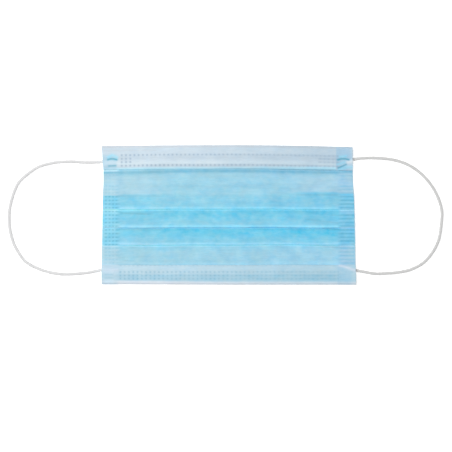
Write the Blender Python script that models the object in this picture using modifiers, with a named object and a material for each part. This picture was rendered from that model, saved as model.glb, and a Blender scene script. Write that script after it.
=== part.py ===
# A flat pleated face mask with two ear loops, lying face up.
# Metres. +X is the photograph's right, +Y the edge with the nose wire, +Z out of the outer face.
# The origin is the middle of the cloth's outline, on the surface that the mask lies on.

import math
from collections import namedtuple

import bmesh
import bpy
import numpy as np

MM = 0.001

# Cloth outline, with the loops left out.
MASK_WIDTH = 175 * MM
MASK_HEIGHT = 96 * MM
TOP_BOW_LEFT = 0.7 * MM
TOP_BOW_RIGHT = 1.5 * MM
SEAL_WIDTH = 10 * MM

# The pressed three-ply laminate, and the clearance between touching pieces and between the plies of a pleat.
CLOTH_WALL = 1.0 * MM
PIECE_GAP = 0.3 * MM
FIRST_TUCK = 10.8 * MM
PANEL_SAG = 0.8 * MM
PLEAT_LOFT = 0.45 * MM

# The pale strips round the top and bottom edges.
TOP_BAND_DEPTH = 16.3 * MM
BOTTOM_BAND_DEPTH = 13.4 * MM
BAND_LIP = 6.5 * MM

# The bendable wire under the top band.
WIRE_LENGTH = 104 * MM
WIRE_WIDTH = 3.5 * MM
WIRE_THICKNESS = 0.8 * MM
WIRE_INSET = 10.45 * MM
WIRE_EDGE = 0.2 * MM
RIDGE_FADE = 4.5 * MM

# The elastic ear loops, which thin out where their ends are welded flat.
CORD_DIAMETER = 2.2 * MM
CORD_WELD_SHARE = 0.4
CORD_STEP = 5.0 * MM
FLOOR_GAP = 0.05 * MM

# How far the cloth's lift over a cord fades out, along the side seal and inwards.
LIFT_FADE = 14 * MM

# Steps in each half turn of a fold and in each change of height, and a pleat's rise in layers.
FOLD_STEPS = 6
EASE_STEPS = 5
STEP_PITCHES = 1.5

# Fold edges that show, as shares of the height from the top edge.
Pleat = namedtuple("Pleat", "edge_share")
PLEATS = [
    Pleat(edge_share=0.464),
    Pleat(edge_share=0.596),
    Pleat(edge_share=0.720),
]

# The two cut side edges, as shares of the height from the top and of the half width.
Side = namedtuple("Side", "height_share left_share right_share")
SIDES = [
    Side(0.00, 1.000, 0.973),
    Side(0.08, 0.993, 0.973),
    Side(0.18, 0.986, 0.975),
    Side(0.45, 0.992, 0.988),
    Side(0.72, 0.997, 0.995),
    Side(0.90, 1.000, 0.998),
    Side(1.00, 1.000, 1.000),
]

# Where the ear loops run, seen from above, in millimetres, from the upper weld to the lower one.
LEFT_ROUTE_MM = [
    (-78.4, 36.5), (-84.6, 36.8), (-90.1, 36.3), (-98.4, 36.1), (-106.7, 36.6), (-114.9, 36.5),
    (-123.2, 35.4), (-131.4, 32.9), (-139.7, 27.4), (-145.6, 21.2), (-149.1, 12.9), (-151.1, 4.6),
    (-151.6, -1.5), (-151.1, -9.9), (-148.7, -19.1), (-144.9, -26.4), (-140.0, -32.6), (-131.4, -37.2),
    (-123.2, -39.8), (-114.9, -41.0), (-106.7, -40.8), (-98.4, -40.1), (-92.2, -39.0), (-87.5, -38.0),
    (-83.2, -37.9), (-78.4, -38.1),
]
RIGHT_ROUTE_MM = [
    (78.1, 36.8), (81.8, 37.0), (85.5, 38.0), (91.1, 38.9), (97.3, 39.2), (105.6, 38.9),
    (113.8, 37.8), (122.1, 35.2), (130.4, 30.2), (136.9, 23.9), (141.8, 17.0), (145.5, 8.7),
    (147.0, 1.9), (146.7, -5.7), (145.1, -16.2), (141.4, -24.6), (135.0, -32.5), (126.4, -37.5),
    (118.0, -39.6), (109.7, -40.4), (101.4, -40.7), (93.2, -39.4), (87.3, -38.3), (82.8, -37.0),
    (78.1, -35.7),
]

OUTER_BLUE = (0.35, 0.67, 0.83)
BAND_PALE = (0.66, 0.80, 0.87)
WIRE_WHITE = (0.75, 0.76, 0.77)
ELASTIC_WHITE = (0.82, 0.82, 0.82)

HALF_WIDTH = MASK_WIDTH / 2
HALF_HEIGHT = MASK_HEIGHT / 2
HALF_WALL = CLOTH_WALL / 2
LAYER_PITCH = CLOTH_WALL + PIECE_GAP
SEAL_INNER = HALF_WIDTH - SEAL_WIDTH
TOP_FLAP_EDGE = HALF_HEIGHT - TOP_BAND_DEPTH
BOTTOM_FLAP_EDGE = BOTTOM_BAND_DEPTH - HALF_HEIGHT
WIRE_Y = HALF_HEIGHT - WIRE_INSET
RIDGE_INNER = WIRE_LENGTH / 2 + PIECE_GAP
RIDGE_OUTER = RIDGE_INNER + RIDGE_FADE

Station = namedtuple("Station", "y z over_wire")


def level(number, pitch=LAYER_PITCH):
    """Height of a layer's middle, counted from the layer that lies on the surface."""
    return HALF_WALL + number * pitch


class SideView:
    """The middle line of a folded sheet, seen from the side, from one cut edge to the other."""

    def __init__(self, y, z):
        self.stations = [Station(y, z, 0.0)]

    def run(self, y, z, steps=1, over_wire=0.0):
        """Goes straight on to a point."""
        last = self.stations[-1]
        for step in range(1, steps + 1):
            share = step / steps
            self.stations.append(Station(
                last.y + (y - last.y) * share,
                last.z + (z - last.z) * share,
                last.over_wire + (over_wire - last.over_wire) * share,
            ))

    def ease(self, y, z, steps=EASE_STEPS):
        """Changes height smoothly, level at both ends."""
        last = self.stations[-1]
        for step in range(1, steps + 1):
            share = step / steps
            eased = share * share * (3 - 2 * share)
            self.stations.append(Station(last.y + (y - last.y) * share, last.z + (z - last.z) * eased, 0.0))

    def turn(self, y, z, radius, start, sweep, steps=FOLD_STEPS):
        """Runs round a centre, from one angle through another, in radians."""
        for step in range(steps + 1):
            angle = start + sweep * step / steps
            self.stations.append(Station(y + radius * math.cos(angle), z + radius * math.sin(angle), 0.0))


def side_edge(y, side):
    """Where the cut edge lies at a height, on the left (-1) or the right (+1)."""
    heights = [row.height_share for row in SIDES]
    shares = [row.left_share if side < 0 else row.right_share for row in SIDES]
    return HALF_WIDTH * float(np.interp((HALF_HEIGHT - y) / MASK_HEIGHT, heights, shares))


def inner_columns():
    """Distances of the cloth's columns from the middle, up to the inner edge of the side seal."""
    beyond_ridge = (RIDGE_OUTER + SEAL_INNER) / 2
    return [0.0, RIDGE_INNER / 3, RIDGE_INNER * 2 / 3, RIDGE_INNER, RIDGE_OUTER, beyond_ridge, SEAL_INNER]


def column_places():
    """Every column, as its side, its distance inside the seal and its share of the way across the seal."""
    half = [(distance, 0.0) for distance in inner_columns()] + [(SEAL_INNER, 0.5), (SEAL_INNER, 1.0)]
    left = [(-1, distance, share) for distance, share in reversed(half[1:])]
    right = [(1, distance, share) for distance, share in half]
    return left + right


def corner_lift(x, y, edge):
    """How far the cloth rises at the four corners to pass over the ear loops."""
    over_cord = CORD_DIAMETER + FLOOR_GAP + PIECE_GAP - LAYER_PITCH
    over_weld = max(0.0, CORD_DIAMETER * CORD_WELD_SHARE + FLOOR_GAP + PIECE_GAP - LAYER_PITCH)
    across = np.interp(abs(x), [SEAL_INNER - LIFT_FADE, SEAL_INNER, edge], [0.0, over_weld, over_cord])
    band_start = TOP_FLAP_EDGE if y > 0 else -BOTTOM_FLAP_EDGE
    share = float(np.clip((abs(y) - band_start + LIFT_FADE) / LIFT_FADE, 0.0, 1.0))
    return float(across) * share * share * (3 - 2 * share)


def wire_presence(x):
    """1 where the wire lies under the flap, 0 beyond its ends."""
    return float(np.interp(abs(x), [RIDGE_INNER, RIDGE_OUTER], [1.0, 0.0]))


def top_bow(x, y):
    """How far the top edge curves down towards its corners. It fades out below the top band."""
    share = float(np.clip((y - TOP_FLAP_EDGE + TOP_BAND_DEPTH) / TOP_BAND_DEPTH, 0.0, 1.0))
    bow = TOP_BOW_LEFT if x < 0 else TOP_BOW_RIGHT
    return bow * (x / HALF_WIDTH) ** 2 * share


def new_collection(name):
    collection = bpy.data.collections.new(name)
    bpy.context.scene.collection.children.link(collection)
    return collection


def new_material(name, colour, roughness, metallic=0.0):
    material = bpy.data.materials.new(name)
    material.use_nodes = True
    shader = material.node_tree.nodes["Principled BSDF"]
    shader.inputs["Base Color"].default_value = (*colour, 1.0)
    shader.inputs["Roughness"].default_value = roughness
    shader.inputs["Metallic"].default_value = metallic
    return material


def add_object(name, data, material, collection):
    data.materials.append(material)
    piece = bpy.data.objects.new(name, data)
    collection.objects.link(piece)
    return piece


def folded_sheet(name, side_view, material, collection):
    """Folds a flat grid of cloth along each column's side view and gives it its wall."""
    columns = column_places()
    views = [side_view(distance) for side, distance, share in columns]
    across = len(columns) - 1
    along = len(views[0]) - 1
    cloth = bmesh.new()
    bmesh.ops.create_grid(cloth, x_segments=across, y_segments=along, size=0.5)
    for vertex in cloth.verts:
        column = round((vertex.co.x + 0.5) * across)
        side, distance, seal_share = columns[column]
        station = views[column][round((0.5 - vertex.co.y) * along)]
        edge = side_edge(station.y, side)
        x = side * (distance + (edge - SEAL_INNER) * seal_share)
        z = station.z + corner_lift(x, station.y, edge)
        z += station.over_wire * wire_presence(x) * (WIRE_THICKNESS + PIECE_GAP)
        vertex.co = (x, station.y - top_bow(x, station.y), z)
    mesh = bpy.data.meshes.new(name)
    cloth.to_mesh(mesh)
    cloth.free()
    mesh.shade_smooth()
    piece = add_object(name, mesh, material, collection)
    wall = piece.modifiers.new("wall", "SOLIDIFY")
    wall.thickness = CLOTH_WALL
    wall.offset = 0.0
    wall.use_even_offset = True
    return piece


def pleated_view(distance):
    """The panel at a distance from the middle, from the top edge and back under itself at each pleat."""
    loft = PLEAT_LOFT * (1 - (distance / SEAL_INNER) ** 3)
    pitch = LAYER_PITCH + loft
    reach = pitch / 2 + HALF_WALL
    view = SideView(HALF_HEIGHT - HALF_WALL - LAYER_PITCH - PIECE_GAP / 2, level(1))
    view.run(TOP_FLAP_EDGE, level(1), steps=3)
    edges = [HALF_HEIGHT - pleat.edge_share * MASK_HEIGHT for pleat in PLEATS]
    hidden_fold = edges[0] + FIRST_TUCK
    view.ease((TOP_FLAP_EDGE + hidden_fold) / 2, level(1) - PANEL_SAG)
    view.ease(hidden_fold + pitch, level(2, pitch))
    last_fold_y = None
    for edge in edges:
        fold_y = edge + reach
        tuck_y = hidden_fold - reach
        if last_fold_y is not None:
            step_up(view, last_fold_y, tuck_y, pitch)
        view.turn(fold_y, level(1.5, pitch), pitch / 2, math.pi / 2, math.pi)
        view.turn(tuck_y, level(0.5, pitch), pitch / 2, math.pi / 2, -math.pi)
        last_fold_y = fold_y
        hidden_fold = edge - STEP_PITCHES * pitch
    view.run(fold_y, level(0))
    view.run((fold_y + BOTTOM_FLAP_EDGE) / 2, level(0))
    view.ease(BOTTOM_FLAP_EDGE, level(1))
    view.run(HALF_WALL + LAYER_PITCH + PIECE_GAP / 2 - HALF_HEIGHT, level(1), steps=3)
    return view.stations


def step_up(view, fold_y, next_tuck_y, pitch):
    """Carries the sheet from under one pleat's fold up and over the next pleat's hidden fold."""
    radius = 1.5 * pitch
    reach = math.hypot(fold_y - next_tuck_y, pitch)
    slope = math.asin(2 * radius / reach) - math.atan2(pitch, fold_y - next_tuck_y)
    view.turn(fold_y, level(1.5, pitch), radius, -math.pi / 2, -slope, steps=3)
    view.turn(next_tuck_y, level(0.5, pitch), radius, math.pi / 2 - slope, slope, steps=3)


def band_turn(view, end, toward_back):
    """Wraps a band round the panel's cut edge, from its front flap to its lip or the other way."""
    centre = end * (HALF_HEIGHT - HALF_WALL - LAYER_PITCH)
    start = math.pi / 2 if toward_back else -math.pi / 2
    sweep = -end * math.pi if toward_back else end * math.pi
    view.turn(centre, level(1), LAYER_PITCH, start, sweep, steps=6)


def top_band_view(distance):
    """The same at every distance: the front flap from its edge, over the wire, round the top, the lip."""
    ridge = WIRE_WIDTH / 2 + PIECE_GAP
    ridge_foot = ridge + 1.5 * (WIRE_THICKNESS + PIECE_GAP)
    view = SideView(TOP_FLAP_EDGE, level(2))
    view.run(WIRE_Y - ridge_foot, level(2))
    view.run(WIRE_Y - ridge, level(2), over_wire=1.0)
    view.run(WIRE_Y + ridge, level(2), steps=2, over_wire=1.0)
    view.run(WIRE_Y + ridge_foot, level(2), over_wire=0.0)
    band_turn(view, 1, True)
    view.run(HALF_HEIGHT - BAND_LIP, level(0), steps=2)
    return view.stations


def bottom_band_view(distance):
    """The same at every distance: from the lip's edge, round the bottom edge and up the front flap."""
    view = SideView(BAND_LIP - HALF_HEIGHT, level(0))
    band_turn(view, -1, False)
    view.run(BOTTOM_FLAP_EDGE, level(2), steps=3)
    return view.stations


def nose_wire(material, collection):
    """The flat wire, lying on the panel under the top band's flap."""
    bar = bmesh.new()
    bmesh.ops.create_cube(bar, size=1.0)
    bmesh.ops.scale(bar, vec=(WIRE_LENGTH, WIRE_WIDTH, WIRE_THICKNESS), verts=bar.verts)
    bmesh.ops.subdivide_edges(
        bar, edges=[edge for edge in bar.edges if edge.calc_length() > WIRE_LENGTH / 2], cuts=8)
    height = level(1) + HALF_WALL + PIECE_GAP + WIRE_THICKNESS / 2
    for vertex in bar.verts:
        vertex.co.y += WIRE_Y - top_bow(vertex.co.x, WIRE_Y)
        vertex.co.z += height
    mesh = bpy.data.meshes.new("nose_wire")
    bar.to_mesh(mesh)
    bar.free()
    piece = add_object("nose_wire", mesh, material, collection)
    edges = piece.modifiers.new("edges", "BEVEL")
    edges.width = WIRE_EDGE
    edges.segments = 2
    edges.angle_limit = math.radians(40)
    return piece


def smooth_route(points, step):
    """Evenly spaced points on a smooth curve through the chosen ones, about a step apart."""
    chosen = np.array(points)
    ends = np.vstack([2 * chosen[0] - chosen[1], chosen, 2 * chosen[-1] - chosen[-2]])
    fine = []
    for first, here, there, last in zip(ends, ends[1:], ends[2:], ends[3:]):
        for t in np.linspace(0, 1, 12, endpoint=False):
            fine.append(0.5 * (2 * here + (there - first) * t
                               + (2 * first - 5 * here + 4 * there - last) * t ** 2
                               + (3 * here - first - 3 * there + last) * t ** 3))
    fine = np.array(fine + [chosen[-1]])
    along = np.concatenate([[0.0], np.cumsum(np.linalg.norm(np.diff(fine, axis=0), axis=1))])
    even = np.linspace(0.0, along[-1], round(along[-1] / step) + 1)
    return np.column_stack([np.interp(even, along, fine[:, axis]) for axis in range(fine.shape[1])])


def ear_loop(name, route_mm, material, collection):
    """A round cord that lies on the surface, with both ends thinned under the cloth's corners."""
    curve = bpy.data.curves.new(name, "CURVE")
    curve.dimensions = "3D"
    curve.bevel_depth = CORD_DIAMETER / 2
    curve.bevel_resolution = 2
    curve.use_fill_caps = True
    route = smooth_route(np.array(route_mm) * MM, CORD_STEP)
    spline = curve.splines.new("POLY")
    spline.points.add(len(route) - 1)
    for point, (x, y) in zip(spline.points, route):
        edge = side_edge(y, math.copysign(1, x))
        thickness = float(np.interp(abs(x), [SEAL_INNER, edge], [CORD_WELD_SHARE, 1.0]))
        point.co = (x, y, FLOOR_GAP + thickness * CORD_DIAMETER / 2, 1.0)
        point.radius = thickness
    return add_object(name, curve, material, collection)


for leftover in list(bpy.data.objects):
    bpy.data.objects.remove(leftover)

mask = new_collection("face_mask")
cloth_blue = new_material("cloth_blue", OUTER_BLUE, 0.85)
band_pale = new_material("band_pale", BAND_PALE, 0.8)
wire_white = new_material("wire_white", WIRE_WHITE, 0.4)
elastic_white = new_material("elastic_white", ELASTIC_WHITE, 0.9)

folded_sheet("pleated_panel", pleated_view, cloth_blue, mask)
folded_sheet("top_band", top_band_view, band_pale, mask)
folded_sheet("bottom_band", bottom_band_view, band_pale, mask)
nose_wire(wire_white, mask)
ear_loop("ear_loop_left", LEFT_ROUTE_MM, elastic_white, mask)
ear_loop("ear_loop_right", RIGHT_ROUTE_MM, elastic_white, mask)
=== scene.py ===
# A pleated face mask lying face up on a pale table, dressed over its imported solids.

import math

import bmesh
import bpy
import numpy as np
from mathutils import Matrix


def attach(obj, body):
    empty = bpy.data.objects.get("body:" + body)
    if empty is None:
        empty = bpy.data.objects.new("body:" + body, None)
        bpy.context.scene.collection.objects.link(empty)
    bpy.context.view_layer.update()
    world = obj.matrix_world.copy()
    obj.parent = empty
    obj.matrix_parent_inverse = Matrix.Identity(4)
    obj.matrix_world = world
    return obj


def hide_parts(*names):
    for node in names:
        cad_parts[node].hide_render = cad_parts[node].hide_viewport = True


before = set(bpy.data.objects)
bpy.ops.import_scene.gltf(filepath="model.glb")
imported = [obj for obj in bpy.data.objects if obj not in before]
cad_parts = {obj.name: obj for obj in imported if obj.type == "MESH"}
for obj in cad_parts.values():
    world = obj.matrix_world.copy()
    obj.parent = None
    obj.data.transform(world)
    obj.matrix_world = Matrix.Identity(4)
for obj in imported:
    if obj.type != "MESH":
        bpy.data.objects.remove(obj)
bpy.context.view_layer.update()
mm = 0.001

# The solids' own sizes, which every piece of cloth shares.
mask = {
    "width": 175 * mm,
    "height": 96 * mm,
    "leftBow": 0.7 * mm,
    "rightBow": 1.5 * mm,
    "sealWidth": 10 * mm,
    "wall": 1.0 * mm,
    "gap": 0.3 * mm,
    "firstTuck": 10.8 * mm,
    "sag": 0.8 * mm,
    "loft": 0.45 * mm,
    "stepPitches": 1.5,
    "edgeShares": (0.464, 0.596, 0.720),  # fold edges, from the top
    "topBand": 16.3 * mm,
    "bottomBand": 13.4 * mm,
    "lip": 6.5 * mm,
    "liftFade": 14 * mm,
    "sideHeights": (0.00, 0.08, 0.18, 0.45, 0.72, 0.90, 1.00),
    "leftShares": (1.000, 0.993, 0.986, 0.992, 0.997, 1.000, 1.000),
    "rightShares": (0.973, 0.973, 0.975, 0.988, 0.995, 0.998, 1.000),
}

# How the cloth that is shown lies over those solids.
folding = {
    "bottomSag": 0.3 * mm,  # of the bottom edge towards its right
    "plyFace": 0.35 * mm,  # from the cloth's middle line out to its face
    "hugGap": 0.02 * mm,  # between a fold and the sheet that wraps round it
    "crest": 0.6 * mm,  # radius of the bend over a fold's top
    "flapDrop": 0.7 * mm,  # of a band's free edge onto the panel
    "flapEase": 4.5 * mm,
    "frontHeights": (1.0 * mm, 1.8 * mm),  # marks are pressed into the cloth above these alone
    "sagAcross": (-75 * mm, 10 * mm),
    "sagBelow": 42 * mm,  # from the middle of the mask
}
halfWidth = mask["width"] / 2
halfHeight = mask["height"] / 2
halfWall = mask["wall"] / 2
layerPitch = mask["wall"] + mask["gap"]
sealInner = halfWidth - mask["sealWidth"]
topFlapEdge = halfHeight - mask["topBand"]
bottomFlapEdge = mask["bottomBand"] - halfHeight
foldEdges = [halfHeight - share * mask["height"] for share in mask["edgeShares"]]

wire = {
    "length": 104 * mm,
    "width": 3.5 * mm,
    "inset": 10.45 * mm,
    "rise": 0.6 * mm,
    "foot": 2.4 * mm,
    "fade": 6 * mm,
    "coverColours": ((0.66, 0.68, 0.70, 1), (0.80, 0.81, 0.82, 1)),
}
wireY = halfHeight - wire["inset"]

# The camera looks straight down. Its frame is the photograph's, 452 pixels wide.
camera = {
    "picture": 452,
    "maskMiddle": (228.3, 214.2),  # pixels, counted from 0
    "maskWidth": 254.0,  # pixels
    "lens": 100,  # millimetres
    "sensor": 36,
    "aim": 2.5 * mm,  # height of the cloth that it is set for
}
pixel = mask["width"] / camera["maskWidth"]


# A place on the cloth, read off the photograph in pixels.
def atPixel(x, y):
    return (x - camera["maskMiddle"][0]) * pixel, (camera["maskMiddle"][1] - y) * pixel


def addObject(name, data):
    added = bpy.data.objects.new(name, data)
    bpy.context.scene.collection.objects.link(added)
    return added


def makeCamera():
    middle = (camera["picture"] - 1) / 2
    x, y = atPixel(middle, middle)
    reach = camera["picture"] * pixel * camera["lens"] / camera["sensor"]
    data = bpy.data.cameras.new("camera")
    data.lens = camera["lens"]
    data.sensor_width = camera["sensor"]
    eye = addObject("camera", data)
    eye.location = (x, y, camera["aim"] + reach)
    bpy.context.scene.camera = eye


makeCamera()
print("camera made")


def ramp(value, low, high):
    return np.clip((value - low) / (high - low), 0.0, 1.0)


def smooth(value, low, high):
    share = ramp(value, low, high)
    return share * share * (3 - 2 * share)


def sideEdge(y, side):
    shares = mask["leftShares"] if side < 0 else mask["rightShares"]
    return halfWidth * np.interp((halfHeight - y) / mask["height"], mask["sideHeights"], shares)


cord = {
    "diameter": 2.2 * mm,
    "weldShare": 0.4,  # of the diameter, left where the cord is welded
    "weldSpread": 0.3,  # how much wider a cord pressed quite flat would be
    "floorGap": 0.05 * mm,
    "around": 40,
    "step": 0.2 * mm,
    "pathStep": 5,  # rings from one point of its declared path to the next
    "seam": 0.002 * mm,  # vertices nearer than this become one
    "ribs": 8,
    "stitch": 0.85 * mm,
    "slant": 1.1,  # of the stitches across a rib
    "relief": 0.09,
    "ribShare": 0.6,  # of the relief, the rest being the stitches'
    "wander": ((0.03, 900, 0), (0.02, 2300, 1)),  # share of the radius, radians a metre, start
    "leftColours": ((0.84, 0.84, 0.84, 1), (0.63, 0.63, 0.64, 1)),
    "rightColours": ((0.77, 0.77, 0.76, 1), (0.56, 0.56, 0.56, 1)),
    "leftRoute": [
        (-78.4, 36.5), (-84.6, 36.8), (-90.1, 36.3), (-98.4, 36.1), (-106.7, 36.6), (-114.9, 36.5),
        (-123.2, 35.4), (-131.4, 32.9), (-139.7, 27.4), (-145.6, 21.2), (-149.1, 12.9), (-151.1, 4.6),
        (-151.6, -1.5), (-151.1, -9.9), (-148.7, -19.1), (-144.9, -26.4), (-140.0, -32.6),
        (-131.4, -37.2), (-123.2, -39.8), (-114.9, -41.0), (-106.7, -40.8), (-98.4, -40.1),
        (-92.2, -39.0), (-87.5, -38.0), (-83.2, -37.9), (-78.4, -38.1),
    ],
    "rightRoute": [
        (78.1, 36.8), (81.8, 37.0), (85.5, 38.0), (91.1, 38.9), (97.3, 39.2), (105.6, 38.9),
        (113.8, 37.8), (122.1, 35.2), (130.4, 30.2), (136.9, 23.9), (141.8, 17.0), (145.5, 8.7),
        (147.0, 1.9), (146.7, -5.7), (145.1, -16.2), (141.4, -24.6), (135.0, -32.5), (126.4, -37.5),
        (118.0, -39.6), (109.7, -40.4), (101.4, -40.7), (93.2, -39.4), (87.3, -38.3), (82.8, -37.0),
        (78.1, -35.7),
    ],
}


# How far the cloth rises at the four corners to pass over the ear loops.
def cornerLift(x, y, edge):
    overCord = cord["diameter"] + cord["floorGap"] + mask["gap"] - layerPitch
    flat = cord["diameter"] * cord["weldShare"]
    overWeld = max(0.0, flat + cord["floorGap"] + mask["gap"] - layerPitch)
    inward = ramp(np.abs(x), sealInner - mask["liftFade"], sealInner) * overWeld
    outward = ramp(np.abs(x), sealInner, edge) * (overCord - overWeld)
    bandStart = np.where(y > 0, topFlapEdge, -bottomFlapEdge)
    return (inward + outward) * smooth(np.abs(y), bandStart - mask["liftFade"], bandStart)


# How far the top edge curves down towards its corners.
def topBow(x, y):
    bow = np.where(x < 0, mask["leftBow"], mask["rightBow"])
    return bow * (x / halfWidth) ** 2 * ramp(y, topFlapEdge - mask["topBand"], topFlapEdge)


# Evenly spaced points on a smooth curve through the chosen ones.
def smoothRoute(points, step, between=40):
    chosen = np.array(points) * mm
    ends = np.vstack([2 * chosen[0] - chosen[1], chosen, 2 * chosen[-1] - chosen[-2]])
    fine = []
    for first, here, there, last in zip(ends, ends[1:], ends[2:], ends[3:]):
        for t in np.linspace(0, 1, between, endpoint=False):
            fine.append(0.5 * (2 * here + (there - first) * t
                               + (2 * first - 5 * here + 4 * there - last) * t ** 2
                               + (3 * here - first - 3 * there + last) * t ** 3))
    fine = np.array(fine + [chosen[-1]])
    along = np.concatenate([[0.0], np.cumsum(np.linalg.norm(np.diff(fine, axis=0), axis=1))])
    even = np.linspace(0.0, along[-1], round(along[-1] / step) + 1)
    return np.column_stack([np.interp(even, along, fine[:, axis]) for axis in (0, 1)]), even


# A knitted tube along the route, pressed flat where it is welded under the corners.
def makeCord(name, route):
    points, along = smoothRoute(route, cord["step"])
    side = math.copysign(1, points[0, 0])
    heading = np.gradient(points, axis=0)
    heading /= np.linalg.norm(heading, axis=1)[:, None]
    across = np.column_stack([-heading[:, 1], heading[:, 0]])
    edge = sideEdge(points[:, 1], side)
    share = cord["weldShare"] + (1 - cord["weldShare"]) * ramp(np.abs(points[:, 0]), sealInner, edge)
    radius = cord["diameter"] / 2
    height = cord["floorGap"] + share * radius
    wander = sum(size * np.sin(along * rate + start) for size, rate, start in cord["wander"])

    rings = len(points) - 1
    tube = bmesh.new()
    tube.loops.layers.uv.new("cloth")
    bmesh.ops.create_grid(tube, x_segments=cord["around"], y_segments=rings, size=0.5, calc_uvs=True)
    for vertex in tube.verts:
        turn = vertex.co.x + 0.5
        ring = round((vertex.co.y + 0.5) * rings)
        angle = 2 * math.pi * turn
        inRib = (turn * cord["ribs"]) % 1.0 - 0.5
        stitch = math.cos(2 * math.pi * (along[ring] / cord["stitch"] + abs(inRib) * cord["slant"]))
        rib = math.cos(2 * math.pi * inRib)
        knitted = cord["ribShare"] * rib + (1 - cord["ribShare"]) * stitch * (0.5 + 0.5 * rib)
        relief = 1 - cord["relief"] + cord["relief"] * knitted
        wide = radius * relief * (1 + cord["weldSpread"] * (1 - share[ring]) + wander[ring])
        tall = radius * relief * share[ring]
        x, y = points[ring] + across[ring] * wide * math.cos(angle)
        vertex.co = (x, y, height[ring] + tall * math.sin(angle))
    bmesh.ops.remove_doubles(tube, verts=tube.verts, dist=cord["seam"])
    rims = [loop for loop in tube.edges if loop.is_boundary]
    bmesh.ops.holes_fill(tube, edges=rims, sides=0)
    bmesh.ops.recalc_face_normals(tube, faces=tube.faces)
    mesh = bpy.data.meshes.new(name)
    tube.to_mesh(mesh)
    tube.free()
    mesh.shade_smooth()
    every = cord["pathStep"]
    centre = [(float(x), float(y), float(z)) for (x, y), z in zip(points[::every], height[::every])]
    centre.append((float(points[-1, 0]), float(points[-1, 1]), float(height[-1])))
    return addObject(name, mesh), centre, float(along[-1])


# Links what comes from another node, and sets what is a plain value.
def setSockets(tree, node, sockets):
    for key, value in sockets.items():
        if isinstance(value, bpy.types.NodeSocket):
            tree.links.new(value, node.inputs[key])
        else:
            node.inputs[key].default_value = value


def addNode(tree, kind, sockets, **settings):
    node = tree.nodes.new(kind)
    for name, value in settings.items():
        setattr(node, name, value)
    setSockets(tree, node, sockets)
    return node


def mathNode(tree, operation, first, second=0.0):
    node = addNode(tree, "ShaderNodeMath", {0: first, 1: second}, operation=operation)
    return node.outputs[0]


def mixColour(tree, share, first, second):
    node = addNode(tree, "ShaderNodeMix", {0: share, 6: first, 7: second}, data_type="RGBA")
    return node.outputs[2]


def mapRange(tree, value, low, high, toLow=0.0, toHigh=1.0):
    node = addNode(tree, "ShaderNodeMapRange", {0: value, 1: low, 2: high, 3: toLow, 4: toHigh})
    return node.outputs[0]


def newGroup(name, inputs, outputs):
    tree = bpy.data.node_groups.new(name, "ShaderNodeTree")
    for socketName, kind in inputs:
        tree.interface.new_socket(socketName, in_out="INPUT", socket_type=kind)
    for socketName, kind in outputs:
        tree.interface.new_socket(socketName, in_out="OUTPUT", socket_type=kind)
    return tree, tree.nodes.new("NodeGroupInput"), tree.nodes.new("NodeGroupOutput")


# Cloudiness, crossing fibres and bonding points of a spun-bonded cloth, from a place in metres.
def makeNonwoven():
    noises = (  # output, shift of the pattern, its scale across and along, and its detail
        ("Cloud", (0, 0, 0), (75, 95, 1), 4.0),
        ("Streak", (0, 0, 0), (28, 420, 1), 3.0),
        ("Tint", (3, 7, 0), (110, 140, 1), 3.0),
        ("Fleck", (8, 2, 0), (260, 340, 1), 4.0),
    )
    layers = ((14, 5200), (68, 4300), (121, 4700), (166, 3900))  # the fibres' degrees and fineness
    outputs = [name for name, shift, scale, detail in noises] + ["Fibre", "Bond", "Height"]
    tree, given, made = newGroup(
        "nonwoven", [("Place", "NodeSocketVector")], [(name, "NodeSocketFloat") for name in outputs])
    place = given.outputs["Place"]
    for name, shift, scale, detail in noises:
        moved = addNode(tree, "ShaderNodeMapping", {"Vector": place, "Location": shift, "Scale": scale})
        noise = addNode(tree, "ShaderNodeTexNoise", {
            "Vector": moved.outputs[0], "Scale": 1.0, "Detail": detail})
        tree.links.new(noise.outputs[0], made.inputs[name])
    fibres = None
    for degrees, fineness in layers:
        turned = addNode(tree, "ShaderNodeMapping", {
            "Vector": place, "Rotation": (0, 0, math.radians(degrees)), "Scale": (170, fineness, 1)})
        noise = addNode(tree, "ShaderNodeTexNoise", {
            "Vector": turned.outputs[0], "Scale": 1.0, "Detail": 1.0})
        line = mapRange(tree, noise.outputs[0], 0.56, 0.7)
        fibres = line if fibres is None else mathNode(tree, "MAXIMUM", fibres, line)
    slanted = addNode(tree, "ShaderNodeMapping", {
        "Vector": place, "Rotation": (0, 0, math.radians(45)), "Scale": (820, 820, 1)})
    grid = addNode(tree, "ShaderNodeTexVoronoi", {
        "Vector": slanted.outputs[0], "Scale": 1.0, "Randomness": 0.0}, feature="F1")
    bond = mapRange(tree, grid.outputs["Distance"], 0.3, 0.2)
    height = mathNode(tree, "SUBTRACT", fibres, mathNode(tree, "MULTIPLY", bond, 1.2))
    for name, value in (("Fibre", fibres), ("Bond", bond), ("Height", height)):
        tree.links.new(value, made.inputs[name])
    return tree


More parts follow.
